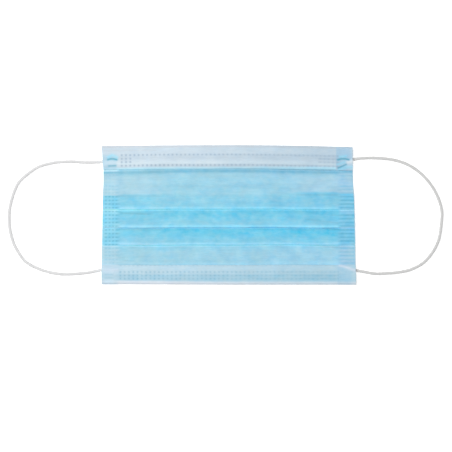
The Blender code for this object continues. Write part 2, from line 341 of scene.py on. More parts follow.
# Chain stitches in ribs round a knitted elastic, from its own coordinates round and along. Its Shade is low
# in the grooves, which take painted shade.
def makeKnit():
    tree, given, made = newGroup(
        "knit",
        [("Place", "NodeSocketVector"), ("Ribs", "NodeSocketFloat"), ("Stitches", "NodeSocketFloat")],
        [("Height", "NodeSocketFloat"), ("Shade", "NodeSocketFloat")],
    )
    split = addNode(tree, "ShaderNodeSeparateXYZ", {0: given.outputs["Place"]})
    turn = mathNode(tree, "MULTIPLY", split.outputs[0], given.outputs["Ribs"])
    inRib = mathNode(tree, "ABSOLUTE", mathNode(tree, "SUBTRACT", mathNode(tree, "FRACT", turn), 0.5))
    along = mathNode(tree, "MULTIPLY", split.outputs[1], given.outputs["Stitches"])
    slant = mathNode(tree, "ADD", along, mathNode(tree, "MULTIPLY", inRib, cord["slant"]))
    wave = mathNode(tree, "COSINE", mathNode(tree, "MULTIPLY", slant, 2 * math.pi))
    rib = mathNode(tree, "COSINE", mathNode(tree, "MULTIPLY", inRib, 2 * math.pi))
    height = mathNode(tree, "ADD", mathNode(tree, "MULTIPLY", wave, 0.5), rib)
    strands = addNode(tree, "ShaderNodeMapping", {"Vector": given.outputs["Place"], "Scale": (90, 900, 1)})
    fuzz = addNode(tree, "ShaderNodeTexNoise", {"Vector": strands.outputs[0], "Scale": 1.0, "Detail": 2.0})
    rough = mathNode(tree, "ADD", height, mathNode(tree, "MULTIPLY", fuzz.outputs[0], 0.8))
    shade = mapRange(tree, rough, -1.2, 1.8)
    tree.links.new(rough, made.inputs["Height"])
    tree.links.new(shade, made.inputs["Shade"])
    return tree


nonwoven = makeNonwoven()
knit = makeKnit()


def newMaterial(name):
    material = bpy.data.materials.new(name)
    material.use_nodes = True
    return material, material.node_tree, material.node_tree.nodes["Principled BSDF"]


def attributeOf(tree, name, output):
    return addNode(tree, "ShaderNodeAttribute", {}, attribute_name=name).outputs[output]


def objectPlace(tree):
    return addNode(tree, "ShaderNodeTexCoord", {}).outputs["Object"]


def elasticMaterial(name, colour, shade, stitches):
    material, tree, shader = newMaterial(name)
    place = addNode(tree, "ShaderNodeUVMap", {}, uv_map="cloth").outputs[0]
    knitted = addNode(tree, "ShaderNodeGroup", {
        "Place": place, "Ribs": cord["ribs"], "Stitches": stitches}, node_tree=knit)
    relief = addNode(tree, "ShaderNodeBump", {
        "Height": knitted.outputs["Height"], "Strength": 0.6, "Distance": 0.06 * mm})
    setSockets(tree, shader, {
        # The grooves between stitches and ribs take the darker colour: painted shade.
        "Base Color": mixColour(tree, knitted.outputs["Shade"], shade, colour),
        "Normal": relief.outputs[0],
        "Roughness": mapRange(tree, knitted.outputs["Shade"], 0, 1, 0.95, 0.75),
        "Specular IOR Level": 0.2,
        "Sheen Weight": 0.15,
    })
    return material


for side, route in (("left", cord["leftRoute"]), ("right", cord["rightRoute"])):
    earLoop, path, length = makeCord(f"ear_loop_{side}_elastic", route)
    colours = cord[side + "Colours"]
    earLoop.data.materials.append(elasticMaterial(f"elastic_{side}", *colours, length / cord["stitch"]))
    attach(earLoop, "root")
    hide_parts(f"ear_loop_{side}")
    print(side, "ear loop made, millimetres long:", round(length / mm, 1))


# Pressed and welded marks, shared by the panel and the bands.
welds = {
    "dotRows": (  # row, first dot, last dot and pitch in pixels, then strength
        (154.2, 121.4, 336.5, 4.225, 1.0),
        (164.5, 121.4, 336.5, 4.225, 1.0),
        (157.7, 121.4, 130.0, 4.3, 1.0),
        (161.0, 121.4, 130.0, 4.3, 1.0),
        (157.5, 319.8, 336.6, 4.2, 1.0),
        (160.6, 319.8, 336.6, 4.2, 1.0),
        (264.7, 120.0, 336.5, 4.28, 0.4),
        (271.5, 120.0, 336.5, 4.28, 0.8),
        (275.0, 120.0, 336.5, 4.28, 0.8),
        (278.1, 120.0, 336.5, 4.28, 0.8),
    ),
    "dotRadius": 0.76 * mm,
    "blur": 0.75,  # how far the dots run together at the right
    "blurAcross": (-70 * mm, 62 * mm),
    "blurredStrength": 0.45,
    "dashRow": 174.1,  # pixels, as are the next four
    "dashEnd": 263.5,
    "dashPitch": 3.69,
    "leftDashes": (105.6, 109.2, 112.6, 116.1),
    "rightDashes": (337.2, 353.2),  # run together into lines between these
    "rightStrength": 0.85,
    "dashHalf": (0.95 * mm, 0.62 * mm),
}

# How far each kind of mark raises the cloth, or presses it in.
markHeights = {
    "dots": -0.13 * mm,
    "dashes": -0.13 * mm,
    "dark": -0.2 * mm,
    "pale": 0.35 * mm,
    "wrinkle": -0.15 * mm,
}


def blob(dx, dy, rx, ry):
    return np.exp(-(((dx / rx) ** 2 + (dy / ry) ** 2) ** 1.5))


# How near a place is to a line drawn through pixels of the photograph.
def stroke(x, y, pixels, halfWide):
    points = [np.array(atPixel(*p)) for p in pixels]
    nearest = np.full(x.shape, 1.0)
    for start, end in zip(points, points[1:]):
        run = end - start
        share = np.clip(((x - start[0]) * run[0] + (y - start[1]) * run[1]) / (run @ run), 0, 1)
        away = np.hypot(x - start[0] - share * run[0], y - start[1] - share * run[1])
        nearest = np.minimum(nearest, away)
    return np.exp(-((nearest / halfWide) ** 2))


# The weld dots of both bands, sharp at the left and run together into lines at the right.
def pressedDots(x, y):
    found = np.zeros(x.shape)
    radius = welds["dotRadius"]
    blurred = welds["blur"] * ramp(x, *welds["blurAcross"])
    for row, first, last, pitch, strength in welds["dotRows"]:
        start, height = atPixel(first, row)
        end = atPixel(last, row)[0]
        pitch *= pixel
        offset = (x - start + pitch / 2) % pitch - pitch / 2
        inside = (x > start - pitch / 2) & (x < end + pitch / 2)
        dots = blob(offset, y - height, radius, radius)
        line = welds["blurredStrength"] * blob(0, y - height, radius, radius)
        found = np.maximum(found, (dots + (line - dots) * blurred) * inside * strength)
    return found


# The rows of short dashes down the left side seal, and of long ones down the right.
def pressedDashes(x, y):
    wide, tall = welds["dashHalf"]
    pitch = welds["dashPitch"] * pixel
    top, bottom = atPixel(0, welds["dashRow"])[1], atPixel(0, welds["dashEnd"])[1]
    offset = (y - top + pitch / 2) % pitch - pitch / 2
    inside = (y < top + pitch / 2) & (y > bottom - pitch / 2)
    start, end = (atPixel(column, 0)[0] for column in welds["rightDashes"])
    onRight = smooth(x, start - wide, start) * smooth(x, end + wide, end)
    found = welds["rightStrength"] * blob(0, offset, wide, tall) * onRight
    for column in welds["leftDashes"]:
        found = np.maximum(found, blob(x - atPixel(column, 0)[0], offset, wide, tall))
    return found * inside


# Strokes pressed in where the loops are welded on, and small wrinkles beside the seals:
# pixels, half width, strength. The dark strokes are weld marks, partly painted shade in the creases
# round each cord's bump; the wrinkles also get painted shade.
strokes = {
    "dark": [
        ([(107.6, 159.4), (110, 158.6), (113, 158.5), (116.4, 159.3)], 0.75 * mm, 1.0),
        ([(108.6, 165.6), (115.4, 165.2)], 0.65 * mm, 0.75),
        ([(104.8, 274.0), (112.6, 274.0)], 0.5 * mm, 0.3),
        ([(104.8, 277.4), (112.6, 277.4)], 0.5 * mm, 0.35),
        ([(337.4, 159.4), (340.5, 158.5), (344.5, 158.5), (348.0, 159.4)], 0.75 * mm, 1.0),
        ([(337.6, 167.4), (341.3, 166.0), (345.6, 164.1)], 0.62 * mm, 0.9),
    ],
    "halo": [
        ([(108, 157.0), (112, 154.8), (116.5, 157.0)], 1.1 * mm, 0.8),
        ([(339, 156.4), (345, 156.0)], 1.0 * mm, 0.8),
        ([(337.5, 163.8), (344, 161.8)], 1.0 * mm, 0.7),
        ([(338.5, 169.0), (345.5, 166.9), (351, 166.5)], 1.0 * mm, 0.8),
        ([(104.8, 271.2), (111.8, 271.2)], 0.9 * mm, 0.5),
        ([(105.2, 280.8), (111.8, 280.8)], 1.3 * mm, 0.7),
    ],
    "pale": [
        ([(106, 162.4), (116.5, 162.4)], 1.3 * mm, 0.2),
        ([(347.5, 161.9), (352.4, 161.0)], 1.4 * mm, 1.0),
        ([(104, 269.4), (117, 269.4)], 1.2 * mm, 0.4),
        ([(338.5, 264.5), (346, 266.8), (355.4, 270.2)], 0.95 * mm, 1.0),
    ],
    "wrinkle": [
        ([(117, 195.4), (140, 195.4), (160, 195.8)], 0.5 * mm, 0.6),
        ([(117, 212.4), (130, 212.8), (150, 213.6)], 0.6 * mm, 1.0),
        ([(119, 229.4), (132, 228.6), (160, 228.8)], 0.5 * mm, 0.6),
        ([(122.5, 245.2), (133.8, 246.8)], 0.5 * mm, 0.6),
        ([(121.4, 259.4), (127.5, 261.2)], 0.45 * mm, 0.6),
        ([(298, 194.2), (337.5, 194.6)], 0.6 * mm, 0.7),
        ([(330, 214.3), (337.5, 215.2)], 0.5 * mm, 0.6),
        ([(303.5, 218.6), (320, 220.4), (337.5, 222.6)], 0.45 * mm, 0.8),
        ([(323, 227.8), (337.5, 229.2)], 0.5 * mm, 1.0),
        ([(323, 245.4), (339, 247.6)], 0.45 * mm, 0.7),
    ],
}


def drawn(kind, x, y):
    found = np.zeros(x.shape)
    for pixels, halfWide, weight in strokes[kind]:
        found = np.maximum(found, stroke(x, y, pixels, halfWide) * weight)
    return found


waves = {
    "rise": 0.28 * mm,
    "sideFade": 25 * mm,
    "foldShift": 0.22 * mm,
    "foldSideFade": 12 * mm,
    "foldEndFade": (2 * mm, 20 * mm),
}


# The cloth's slow waves, never below the surface that it lies on. Rates are radians a metre.
def undulation(x, y):
    wave = np.sin(x * 104 + 1.7 * np.sin(y * 63)) * np.sin(y * 81 + 0.9 * np.sin(x * 57 + 1))
    return waves["rise"] * (0.5 + 0.5 * wave) * ramp(halfWidth - np.abs(x), 0, waves["sideFade"])


# How far a fold wanders from straight.
def wobble(x, y):
    inside = ramp(sealInner - np.abs(x), 0, waves["foldSideFade"])
    inside = inside * ramp(halfHeight - np.abs(y), *waves["foldEndFade"])
    return waves["foldShift"] * np.sin(x * 71 + y * 40) * np.sin(x * 33 + 0.5) * inside


# The height of a layer's middle line, counted from 0 at the lowest.
def level(number, pitch=layerPitch):
    return halfWall + number * pitch


# The middle line of a folded sheet, seen from the side, from one cut edge to the other.
class SideView:
    def __init__(self, y, z):
        self.stations = [(y, z, 0.0)]

    def run(self, y, z, steps, overWire=0.0, soft=False):
        lastY, lastZ, lastWire = self.stations[-1]
        for step in range(1, steps + 1):
            share = step / steps
            rise = share * share * (3 - 2 * share) if soft else share
            self.stations.append((
                lastY + (y - lastY) * share, lastZ + (z - lastZ) * rise,
                lastWire + (overWire - lastWire) * share))

    def ease(self, y, z, steps, overWire=0.0):  # a run whose height changes softly
        self.run(y, z, steps, overWire, soft=True)

    def turn(self, y, z, radius, start, sweep, steps):  # goes on round an arc from its first point
        for step in range(1, steps + 1):
            angle = start + sweep * step / steps
            self.stations.append((y + radius * math.cos(angle), z + radius * math.sin(angle), 0.0))


def pleatedView(distance, fine):
    loft = mask["loft"] * (1 - (distance / sealInner) ** 3)
    pitch = layerPitch + loft
    reach = pitch / 2 + folding["plyFace"]
    view = SideView(halfHeight - halfWall - layerPitch - mask["gap"] / 2, level(1))
    view.run(topFlapEdge, level(1), round(14 * fine))
    hiddenFold = foldEdges[0] + mask["firstTuck"]
    view.ease((topFlapEdge + hiddenFold) / 2, level(1) - mask["sag"], round(24 * fine))
    view.ease(hiddenFold + pitch, level(2, pitch), round(20 * fine))
    lastFold = None
    for edge in foldEdges:
        fold = edge + reach
        tuck = hiddenFold - reach
        if lastFold is not None:
            comeUp(view, lastFold, pitch, fine)
            view.run(tuck, level(2, pitch), round(10 * fine))
        view.run(fold, level(2, pitch), round((30 if lastFold is None else 22) * fine))
        view.turn(fold, level(1.5, pitch), pitch / 2, math.pi / 2, math.pi, 12)
        view.run(tuck, level(1, pitch), round(8 * fine))
        view.turn(tuck, level(0.5, pitch), pitch / 2, math.pi / 2, -math.pi, 10)
        lastFold = fold
        hiddenFold = edge - mask["stepPitches"] * pitch
    comeUp(view, lastFold, pitch, fine)
    view.ease(bottomFlapEdge, level(1), round(40 * fine))
    view.run(halfWall + layerPitch + mask["gap"] / 2 - halfHeight, level(1), round(12 * fine))
    return view.stations


# Carries the sheet from under a pleat up close against its fold, to lie level with the pleat's top.
def comeUp(view, fold, pitch, fine):
    hug = pitch / 2 + 2 * folding["plyFace"] + folding["hugGap"]
    crest = folding["crest"]
    lean = math.asin((pitch / 2 - crest) / (hug + crest))
    foldHeight = level(1.5, pitch)
    view.run(fold, level(0, pitch), round(8 * fine))
    view.turn(fold, level(0, pitch) + hug, hug, -math.pi / 2, -math.pi / 2, 8)
    view.run(fold - hug, foldHeight, 3)
    view.turn(fold, foldHeight, hug, -math.pi, -lean, 1)
    outer = hug + crest
    view.turn(fold - outer * math.cos(lean), foldHeight + outer * math.sin(lean),
              crest, -lean, math.pi / 2 + lean, 8)


# Wraps a band round the panel's top edge (end 1) or bottom edge (end -1).
def bandTurn(view, end, towardBack, steps):
    centre = end * (halfHeight - halfWall - layerPitch)
    start = math.pi / 2 if towardBack else -math.pi / 2
    sweep = -end * math.pi if towardBack else end * math.pi
    view.run(centre, level(1) + layerPitch * math.sin(start), steps)
    view.turn(centre, level(1), layerPitch, start, sweep, 14)


# The bands are folded alike at every distance from the middle.
def topBandView(distance, fine):
    ridge = wire["width"] / 2 + mask["gap"]
    view = SideView(topFlapEdge, level(2) - folding["flapDrop"])
    view.ease(wireY - ridge, level(2), round(18 * fine), overWire=1.0)
    view.run(wireY + ridge, level(2), round(12 * fine), overWire=1.0)
    view.run(wireY + ridge + wire["foot"], level(2), round(10 * fine))
    bandTurn(view, 1, True, round(16 * fine))
    view.run(halfHeight - mask["lip"], level(0), round(8 * fine))
    return view.stations


def bottomBandView(distance, fine):
    view = SideView(mask["lip"] - halfHeight, level(0))
    bandTurn(view, -1, False, round(8 * fine))
    view.run(bottomFlapEdge - folding["flapEase"], level(2), round(28 * fine))
    view.ease(bottomFlapEdge, level(2) - folding["flapDrop"], round(8 * fine))
    return view.stations


# Every column: its side, its distance from the middle up to the seal, and its share of the way across it.
def columnPlaces(middleStep, sealStep):
    middle = np.linspace(0, sealInner, round(sealInner / middleStep) + 1)
    seal = np.linspace(0, 1, round(mask["sealWidth"] / sealStep) + 1)[1:]
    half = [(distance, 0.0) for distance in middle] + [(sealInner, share) for share in seal]
    return [(-1, *place) for place in reversed(half[1:])] + [(1, *place) for place in half]


# Folds the columns along their side views, lifts them over the cords and the wire, and presses the marks in.
def foldedPlaces(sheet, columns):
    places = np.array(columns)
    stations = np.array([sheet["view"](distance, sheet["fine"]) for side, distance, share in columns])
    y, z, overWire = stations[:, :, 0], stations[:, :, 1], stations[:, :, 2]
    alongY, alongZ = np.gradient(y, axis=1), np.gradient(z, axis=1)
    length = np.hypot(alongY, alongZ)
    y = y + sheet["offset"] * alongZ / length
    z = z - sheet["offset"] * alongY / length
    side = places[:, 0][:, None]
    edge = np.where(side < 0, sideEdge(y, -1), sideEdge(y, 1))
    x = side * (places[:, 1][:, None] + (edge - sealInner) * places[:, 2][:, None])
    shownY = y - topBow(x, y)
    front = smooth(z, *folding["frontHeights"])
    wireEnd = wire["length"] / 2 + mask["gap"]
    presence = 1 - smooth(np.abs(x), wireEnd, wireEnd + wire["fade"])
    z = z + cornerLift(x, y, edge) + smooth(overWire, 0, 1) * presence * wire["rise"]
    marks = {"dots": pressedDots(x, y), "dashes": pressedDashes(x, y)}
    marks.update({kind: drawn(kind, x, shownY) for kind in strokes})
    marks = {kind: mark * front for kind, mark in marks.items()}
    z = z + sum(height * marks[kind] for kind, height in markHeights.items()) + undulation(x, y)
    sag = smooth(x, *folding["sagAcross"]) * ramp(-y, folding["sagBelow"], halfHeight)
    shownY = shownY + wobble(x, y) - folding["bottomSag"] * sag
    return x, y, z, shownY, np.cumsum(length, axis=1), marks


def gridMesh(name, across, along, size):
    flat = bmesh.new()
    bmesh.ops.create_grid(flat, x_segments=across, y_segments=along, size=size)
    mesh = bpy.data.meshes.new(name)
    flat.to_mesh(mesh)
    flat.free()
    return mesh


# A grid with its vertices at the given places, and vectors for its material at each vertex.
def clothMesh(name, placed, vectors):
    across, along = placed.shape[0] - 1, placed.shape[1] - 1
    mesh = gridMesh(name, across, along, 0.5)
    grid = np.zeros(len(mesh.vertices) * 3)
    mesh.vertices.foreach_get("co", grid)
    grid = grid.reshape(-1, 3)
    column = np.rint((grid[:, 0] + 0.5) * across).astype(int)
    row = np.rint((0.5 - grid[:, 1]) * along).astype(int)
    mesh.vertices.foreach_set("co", placed[column, row].ravel())
    for key, values in vectors.items():
        attribute = mesh.attributes.new(key, "FLOAT_VECTOR", "POINT")
        attribute.data.foreach_set("vector", values[column, row].astype(np.float32).ravel())
    mesh.shade_smooth()
    return mesh


# A folded, painted sheet with its thickness, and its size when flat.
def foldedSheet(sheet, paintOf, material):
    columns = columnPlaces(sheet["middleStep"], sheet["sealStep"])
    x, y, z, shownY, travelled, marks = foldedPlaces(sheet, columns)
    mesh = clothMesh(sheet["name"], np.stack([x, shownY, z], axis=-1), {
        "cloth": np.stack([x, travelled, np.zeros(x.shape)], axis=-1),
        "paint": paintOf(x, y, z, marks),
    })
    mesh.materials.append(material)
    mesh.update()
    piece = addObject(sheet["name"], mesh)
    wall = piece.modifiers.new("wall", "SOLIDIFY")
    wall.thickness = sheet["thickness"]
    wall.offset = 0.0
    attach(piece, "root")
    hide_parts(sheet["node"])
    flatLength = float(travelled[len(columns) // 2, -1])
    print(sheet["name"], "made, millimetres flat:", round(mask["width"] / mm, 1), round(flatLength / mm, 1))
    return piece, (mask["width"], flatLength)


# Paint moved towards a colour, by a share for each vertex.
def mixed(paint, colour, share):
    share = np.clip(share, 0, 1)[..., None]
    return paint * (1 - share) + np.array(colour) * share


# Paint made lighter or darker by a share for each vertex. The change is of red, green and blue.
def scaled(paint, share, change):
    return paint * (1 + share[..., None] * np.array(change))


def plain(x, colour):
    return np.broadcast_to(np.array(colour, float), (*x.shape, 3)).copy()


def around(value, middle, halfWide):
    return np.exp(-(((value - middle) / halfWide) ** 2))


# How near a place is to a row of the photograph.
def nearRow(y, row, halfWide):
    return around(y, atPixel(0, row)[1], halfWide)


# From 0 to 1 as a place goes from one row of the photograph to another.
def pastRows(y, first, last):
    return smooth(y, atPixel(0, first)[1], atPixel(0, last)[1])


tone = {  # shared by the panel and the bands
    "across": (-55 * mm, 75 * mm),  # the slow change from left to right: painted shade, darker towards the right as the light falls from the left, with a slight change of tint
    "wrinkleShade": (-0.05, -0.13, -0.15),
    "dotShare": 0.85,
    "brightest": 0.97,
}


# The marks' colours, some of them painted shade, over a piece's paint, and the painted shade that darkens it
# slowly from left to right.
def markedPaint(paint, sheet, x, marks):
    # Painted shade along the small wrinkles' creases.
    paint = scaled(paint, marks["wrinkle"], tone["wrinkleShade"])
    paint = mixed(paint, sheet["halo"], marks["halo"])
    paint = mixed(paint, sheet["pale"], marks["pale"])
    paint = mixed(paint, sheet["dot"], marks["dots"] * tone["dotShare"])
    paint = mixed(paint, sheet["dark"], marks["dark"])
    return np.clip(scaled(paint, smooth(x, *tone["across"]), sheet["rightShadeAndTint"]), 0, tone["brightest"])


doubling = {
    # By pleat from the top: how blue it is near the fold hidden under it and near its own edge, and how
    # soft the hidden fold looks. Each is for the middle, then what both sides, the right and the left add.
    "pleats": (
        ((0.35, 0.24, 0.06, 0.0), (0.44, 0.09, 0.0, 0.10), (2.4 * mm, -1.4 * mm, 0.0, 0.0)),
        ((0.88, 0.0, -0.06, -0.15), (0.42, 0.0, 0.0, 0.0), (0.8 * mm, 0.0, 0.0, 0.0)),
        ((0.98, 0.0, 0.10, -0.20), (0.44, 0.0, 0.08, -0.19), (0.8 * mm, 0.0, 0.0, 0.0)),
    ),
    "sides": (35 * mm, 60 * mm),
    "right": (15 * mm, 55 * mm),
    "seal": (75.5 * mm, 77.5 * mm),
    "rise": 1.6 * mm,  # how much higher the first hidden fold shows at the right
    "drop": (0.9 * mm, 0.4 * mm),  # how much lower its ends show, and what the right one adds
    "dropAcross": (73 * mm, 77 * mm),
    "edgeSoftness": 0.2 * mm,
    "inset": 1 * mm,
    "belowLast": (0.25, 1.5 * mm, 2 * mm),  # faint blue below the last fold: depth, distance, half width
    "aboveFirst": (0.13, 175, 188),  # and above the first pleat: depth, and the rows over which it comes
    "strong": (0.18, 0.42),
}


# How deep a blue the cloth has: deepest where plies lie doubled under it.
def pliesAt(x, y):
    sides = smooth(np.abs(x), *doubling["sides"])
    right = smooth(x, *doubling["right"])
    left = smooth(-x, *doubling["sides"]) - smooth(-x, *doubling["seal"])
    regions = np.stack([np.ones(x.shape), sides, right, left])
    drop, dropRight = doubling["drop"]
    firstHidden = foldEdges[0] + mask["firstTuck"] + doubling["rise"] * right
    firstHidden = firstHidden - (drop + dropRight * right) * smooth(np.abs(x), *doubling["dropAcross"])
    faint, below, halfWide = doubling["belowLast"]
    depth = faint * around(y, foldEdges[2] - below, halfWide) * (y < foldEdges[2])
    faint, first, last = doubling["aboveFirst"]
    comes = ramp(y, atPixel(0, first)[1], atPixel(0, last)[1])
    depth = np.maximum(depth, faint * (1 - sides) * comes * (y > foldEdges[0]))
    hiddenFolds = (firstHidden, foldEdges[0], foldEdges[1])
    edgeSoft, inset = doubling["edgeSoftness"], doubling["inset"]
    for edge, hiddenFold, pleat in zip(foldEdges, hiddenFolds, doubling["pleats"]):
        deep, shallow, soft = (np.tensordot(weights, regions, 1) for weights in pleat)
        end = hiddenFold - edgeSoft
        inside = smooth(y, edge - edgeSoft, edge + edgeSoft) * (1 - smooth(y, end - soft, end + soft))
        share = smooth(y, edge + inset, hiddenFold - inset)
        depth = np.maximum(depth, inside * (shallow + (deep - shallow) * share))
    return depth


panelSheet = {
    "name": "panel_outer_ply",
    "node": "pleated_panel",
    "slot": "outer_cloth",
    "view": pleatedView,
    "fine": 1.3,
    "middleStep": 3.0 * mm,
    "sealStep": 0.5 * mm,
    "offset": 0.2 * mm,
    "thickness": 0.3 * mm,
    "single": (0.355, 0.645, 0.775),
    "paleSides": (0.40, 0.655, 0.775),
    "doubled": (0.145, 0.59, 0.81),
    "creaseHighlight": (0.30, 0.76, 0.97),
    "underBandShade": (0.19, 0.48, 0.64),
    "sealSingle": (0.43, 0.685, 0.81),
    "sealDoubled": (0.27, 0.67, 0.86),
    "sealLit": (0.52, 0.80, 0.93),
    "sealShade": (0.16, 0.49, 0.65),
    "dot": (0.24, 0.50, 0.63),
    "dark": (0.10, 0.40, 0.52),
    "halo": (0.40, 0.76, 0.88),
    "pale": (0.55, 0.75, 0.86),
    "rightShadeAndTint": (-0.03, -0.01, 0.03),
    "doubledRightChange": (-0.05, 0, 0),
    "left": (30 * mm, 70 * mm),
    "upperRows": (173, 177),
    "lowerRows": (246, 249),
    "lowerChange": (0.01, 0.035, 0.05),
    "belowPleats": (252, 4 * mm),  # row and half width
    "belowPleatsAcross": (20 * mm, 60 * mm),
    "belowPleatsChange": (0.06, 0.04, 0.04),
    "topHeights": (2.8 * mm, 3.1 * mm),  # the cloth is this high where it lies on a pleat
    "creaseHighlights": (  # partly the creased cloth's own paleness, partly a painted highlight: how strong, how far above its fold, and how much paler
        (0.9, 0.95 * mm, 0.0),
        (1.0, 1.15 * mm, 0.0),
        (0.8, 0.9 * mm, 0.05),
    ),
    "shadeBelowFolds": (  # painted shade just below a fold: number of the fold, how far below it, half width and change
        (0, 1.6 * mm, 1.1 * mm, -0.035),
        (1, 0.8 * mm, 0.7 * mm, -0.06),
    ),
    "litFolds": ((0.4, 0.12), (0.2, 0.0), (0.42, 0.0)),  # painted light in the groove under each fold: how much lighter, and what the left adds
    "litHalf": 0.4 * mm,
    "litBesideBand": (168.6, 0.36 * mm),
    "lowestRows": (259, 262.5),
    "lowestAcross": (76 * mm, 78 * mm),
    "lowestChange": (0.10, 0.02, 0.0),
    "leftSeal": {  # a line is its row, half width and strength
        "litFoldLines": ((209.2, 0.95 * mm, 1.0), (227.1, 0.8 * mm, 1.0), (244.4, 0.7 * mm, 0.3)),
        "litShare": 0.5,
        "bandShadeLine": (171.4, 0.85 * mm, 0.7),
        "litBandLine": (169.2, 0.7 * mm, 0.9),
        "dash": (0.16, 0.49, 0.65),
        "dashShare": 0.3,
        "change": (0, 0, 0),
        "doubledChange": (0, 0, 0),
    },
    "rightSeal": {
        "litFoldLines": ((210.2, 1.6 * mm, 1.0), (227.1, 0.8 * mm, 1.0), (244.4, 0.7 * mm, 1.0)),
        "litShare": 0.75,
        "bandShadeLine": (169.4, 1.3 * mm, 0.7),
        "litBandLine": (169.2, 0.7 * mm, 0.0),
        "dash": (0.175, 0.54, 0.71),
        "dashShare": 0.45,
        "change": (-0.11, -0.08, -0.05),
        "doubledChange": (-0.07, -0.02, -0.01),
    },
}


# Blue that deepens where plies lie doubled, with a painted highlight along the folds, partly the creased
# cloth's own paleness, and painted shade under the top band and just below the first two folds.
def plyPaint(x, y, z, plies, strong, onLeft):
    sides = smooth(np.abs(x), *doubling["sides"])
    upper = pastRows(y, *panelSheet["upperRows"]) * (y > foldEdges[0])
    paint = mixed(plain(x, panelSheet["single"]), panelSheet["paleSides"], sides * upper)
    lower = pastRows(y, *panelSheet["lowerRows"]) * (1 - 0.7 * onLeft)
    paint = scaled(paint, lower, panelSheet["lowerChange"])
    belowPleats = nearRow(y, *panelSheet["belowPleats"]) * smooth(x, *panelSheet["belowPleatsAcross"])
    paint = scaled(paint, belowPleats, panelSheet["belowPleatsChange"])
    paint = mixed(paint, panelSheet["doubled"], plies)
    paint = scaled(paint, strong * smooth(x, *tone["across"]), panelSheet["doubledRightChange"])
    onTop = smooth(z, *panelSheet["topHeights"])
    # Along each fold's crest: partly the creased cloth's own paleness, partly a painted highlight.
    for edge, (weight, above, paler) in zip(foldEdges, panelSheet["creaseHighlights"]):
        creaseHighlight = around(y, edge + above, (0.9 + 0.2 * onLeft) * mm) * onTop
        colour = plain(x, panelSheet["creaseHighlight"])
        colour[..., 0] += paler + 0.05 * onLeft
        paint = mixed(paint, colour, weight * creaseHighlight)
    # Painted shadow of the top band's free edge on the panel just below it.
    under = around(y, topFlapEdge - (1.6 + 0.7 * onLeft) * mm, (1.3 + 0.3 * onLeft) * mm)
    paint = mixed(paint, panelSheet["underBandShade"], under * (0.88 - 0.2 * onLeft))
    # Painted shade on the panel just below the first two folds.
    for number, below, halfWide, change in panelSheet["shadeBelowFolds"]:
        paint = scaled(paint, around(y, foldEdges[number] - below, halfWide), change)
    return paint


# One side seal: paler than the panel, with dashes, painted light in the grooves along the folds and right at
# the band's edge, and painted shade a little below the band.
def sealPaint(seal, y, dashes, strong):
    # Painted light lifts the grooves' shadow along the folds.
    litFoldLines = sum(weight * nearRow(y, row, halfWide) for row, halfWide, weight in seal["litFoldLines"])
    paint = mixed(plain(y, panelSheet["sealSingle"]), panelSheet["sealDoubled"], strong)
    paint = mixed(paint, panelSheet["sealLit"], seal["litShare"] * litFoldLines)
    paint = mixed(paint, seal["dash"], dashes * (1 - 0.7 * litFoldLines) * (seal["dashShare"] + 0.6 * strong))
    # Painted shade a little below the band, and painted light right at its edge.
    for key, colour in (("bandShadeLine", "sealShade"), ("litBandLine", "sealLit")):
        row, halfWide, weight = seal[key]
        paint = mixed(paint, panelSheet[colour], weight * nearRow(y, row, halfWide))
    return scaled(scaled(paint, np.ones(y.shape), seal["change"]), strong, seal["doubledChange"])


def panelPaint(x, y, z, marks):
    plies = pliesAt(x, y)
    strong = smooth(plies, *doubling["strong"])
    onLeft = smooth(-x, *panelSheet["left"])
    seals = [sealPaint(panelSheet[key], y, marks["dashes"], strong) for key in ("leftSeal", "rightSeal")]
    sealed = np.where((x < 0)[..., None], *seals)
    inSeal = smooth(np.where(x < 0, -x, x + 0.9 * mm), sealInner - 1.5 * mm, sealInner - 0.5 * mm)
    paint = mixed(plyPaint(x, y, z, plies, strong, onLeft), sealed, inSeal)
    lowest = np.maximum(onLeft, smooth(x, *panelSheet["lowestAcross"]))
    lowest = lowest * pastRows(y, *panelSheet["lowestRows"])
    paint = scaled(paint, lowest, panelSheet["lowestChange"])
    # Painted light that lifts the shadow in the groove under each fold and just beside the top band's edge.
    lit = nearRow(y, *panelSheet["litBesideBand"]) * (0.02 + 0.18 * onLeft)
    for edge, (weight, leftWeight) in zip(foldEdges, panelSheet["litFolds"]):
        lit = lit + (weight + leftWeight * onLeft) * around(y, edge - 0.05 * mm, panelSheet["litHalf"])
    return markedPaint(scaled(paint, lit, 1.0), panelSheet, x, marks)


innerSheet = {
    "name": "panel_inner_plies",
    "node": "pleated_panel",
    "slot": "band_cloth",
    "view": pleatedView,
    "fine": 0.6,
    "middleStep": 4.0 * mm,
    "sealStep": 1.6 * mm,
    "offset": -0.21 * mm,
    "thickness": 0.5 * mm,
    "white": (0.80, 0.84, 0.86),
}


def innerPaint(x, y, z, marks):
    return plain(x, innerSheet["white"])


bandSheet = {  # shared by the two bands
    "slot": "band_cloth",
    "fine": 1.0,
    "middleStep": 0.36 * mm,
    "sealStep": 0.36 * mm,
    "offset": -0.2 * mm,
    "thickness": 0.6 * mm,
}

